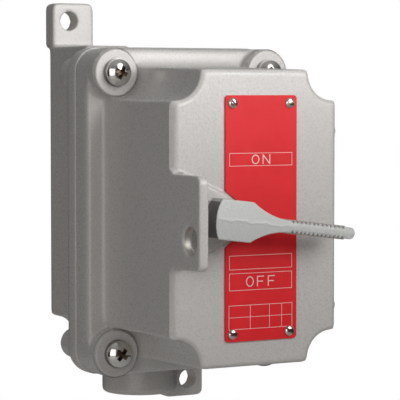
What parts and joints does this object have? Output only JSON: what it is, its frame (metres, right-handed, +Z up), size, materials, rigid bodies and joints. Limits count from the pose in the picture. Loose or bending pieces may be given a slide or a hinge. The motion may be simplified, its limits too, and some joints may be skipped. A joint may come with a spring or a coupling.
{
  "type": "motor starter",
  "caption": "Cast wall-mounted enclosure with a flanged cover, swinging lever, padlock ear and conduit hub, holding a manual motor starter with toggle and contacts.",
  "frame": {"origin": "midpoint between the two wall lug holes, on the wall face", "axes": "+X right, +Y into the wall, +Z up, seen from the front"},
  "size_m": [0.0992, 0.1516, 0.1882],
  "materials": {
    "enclosure_paint": "satin light grey enamel over sand-cast metal",
    "lever_paint": "satin light grey enamel over die-cast metal",
    "cover_screw_steel": "bright stainless",
    "plate_red": "gloss red printed sheet metal",
    "drive_screw_steel": "bright stainless",
    "shaft_steel": "turned steel",
    "bushing_brass": "turned brass",
    "seal_rubber": "moulded rubber",
    "zinc_steel": "zinc plated steel",
    "moulding": "moulded phenolic",
    "contact_copper": "plated copper",
    "ground_green": "green passivated steel"
  },
  "bodies": {
    "enclosure": {"back_box": "enclosure_paint", "cover": "enclosure_paint", "padlock_ear": "enclosure_paint", "cover_screws": "cover_screw_steel", "lock_washers": "cover_screw_steel", "nameplate": "plate_red", "nameplate_screws": "drive_screw_steel", "shaft_bushing": "bushing_brass", "shaft_seal": "seal_rubber", "mounting_strap": "zinc_steel", "strap_screws": "zinc_steel", "starter_base": "moulding", "base_screws": "zinc_steel", "starter_housing": "moulding", "housing_screws": "zinc_steel", "toggle_pin": "shaft_steel", "line_contacts": "contact_copper", "load_contacts": "contact_copper", "output_terminal": "contact_copper", "terminal_screws": "bushing_brass", "overload_heater": "zinc_steel", "heater_screws": "bushing_brass", "ground_screw": "ground_green"},
    "operator": {"operating_lever": "lever_paint", "lever_pin": "shaft_steel", "operator_shaft": "shaft_steel", "thrust_washer": "shaft_steel", "retaining_ring": "shaft_steel", "inner_crank": "shaft_steel", "crank_screw": "shaft_steel"},
    "toggle": {"toggle_handle": "moulding"},
    "carrier": {"contact_carrier": "moulding", "bridge_contacts": "contact_copper", "contact_springs": "zinc_steel"}
  },
  "joints": [
    {"name": "lever_swing", "type": "hinge", "parent": "enclosure", "child": "operator", "pos_m": [-0.0215, -0.128, 0.0008], "axis": [0, -1, 0], "range_deg": [-20.7, 35.3]},
    {"name": "toggle_swing", "type": "hinge", "parent": "enclosure", "child": "toggle", "pos_m": [0, -0.073, 0.0008], "axis": [-1, 0, 0], "range_deg": [-21.76, 36.97]},
    {"name": "carrier_slide", "type": "slide", "parent": "enclosure", "child": "carrier", "axis": [0, 1, 0], "range_m": [-0.00243, 0.00412]}
  ],
  "couplings": [
    {"joint": "toggle_swing", "follows": "lever_swing", "ratio": 1.0416},
    {"joint": "carrier_slide", "follows": "lever_swing", "m_per_rad": 0.006638}
  ]
}
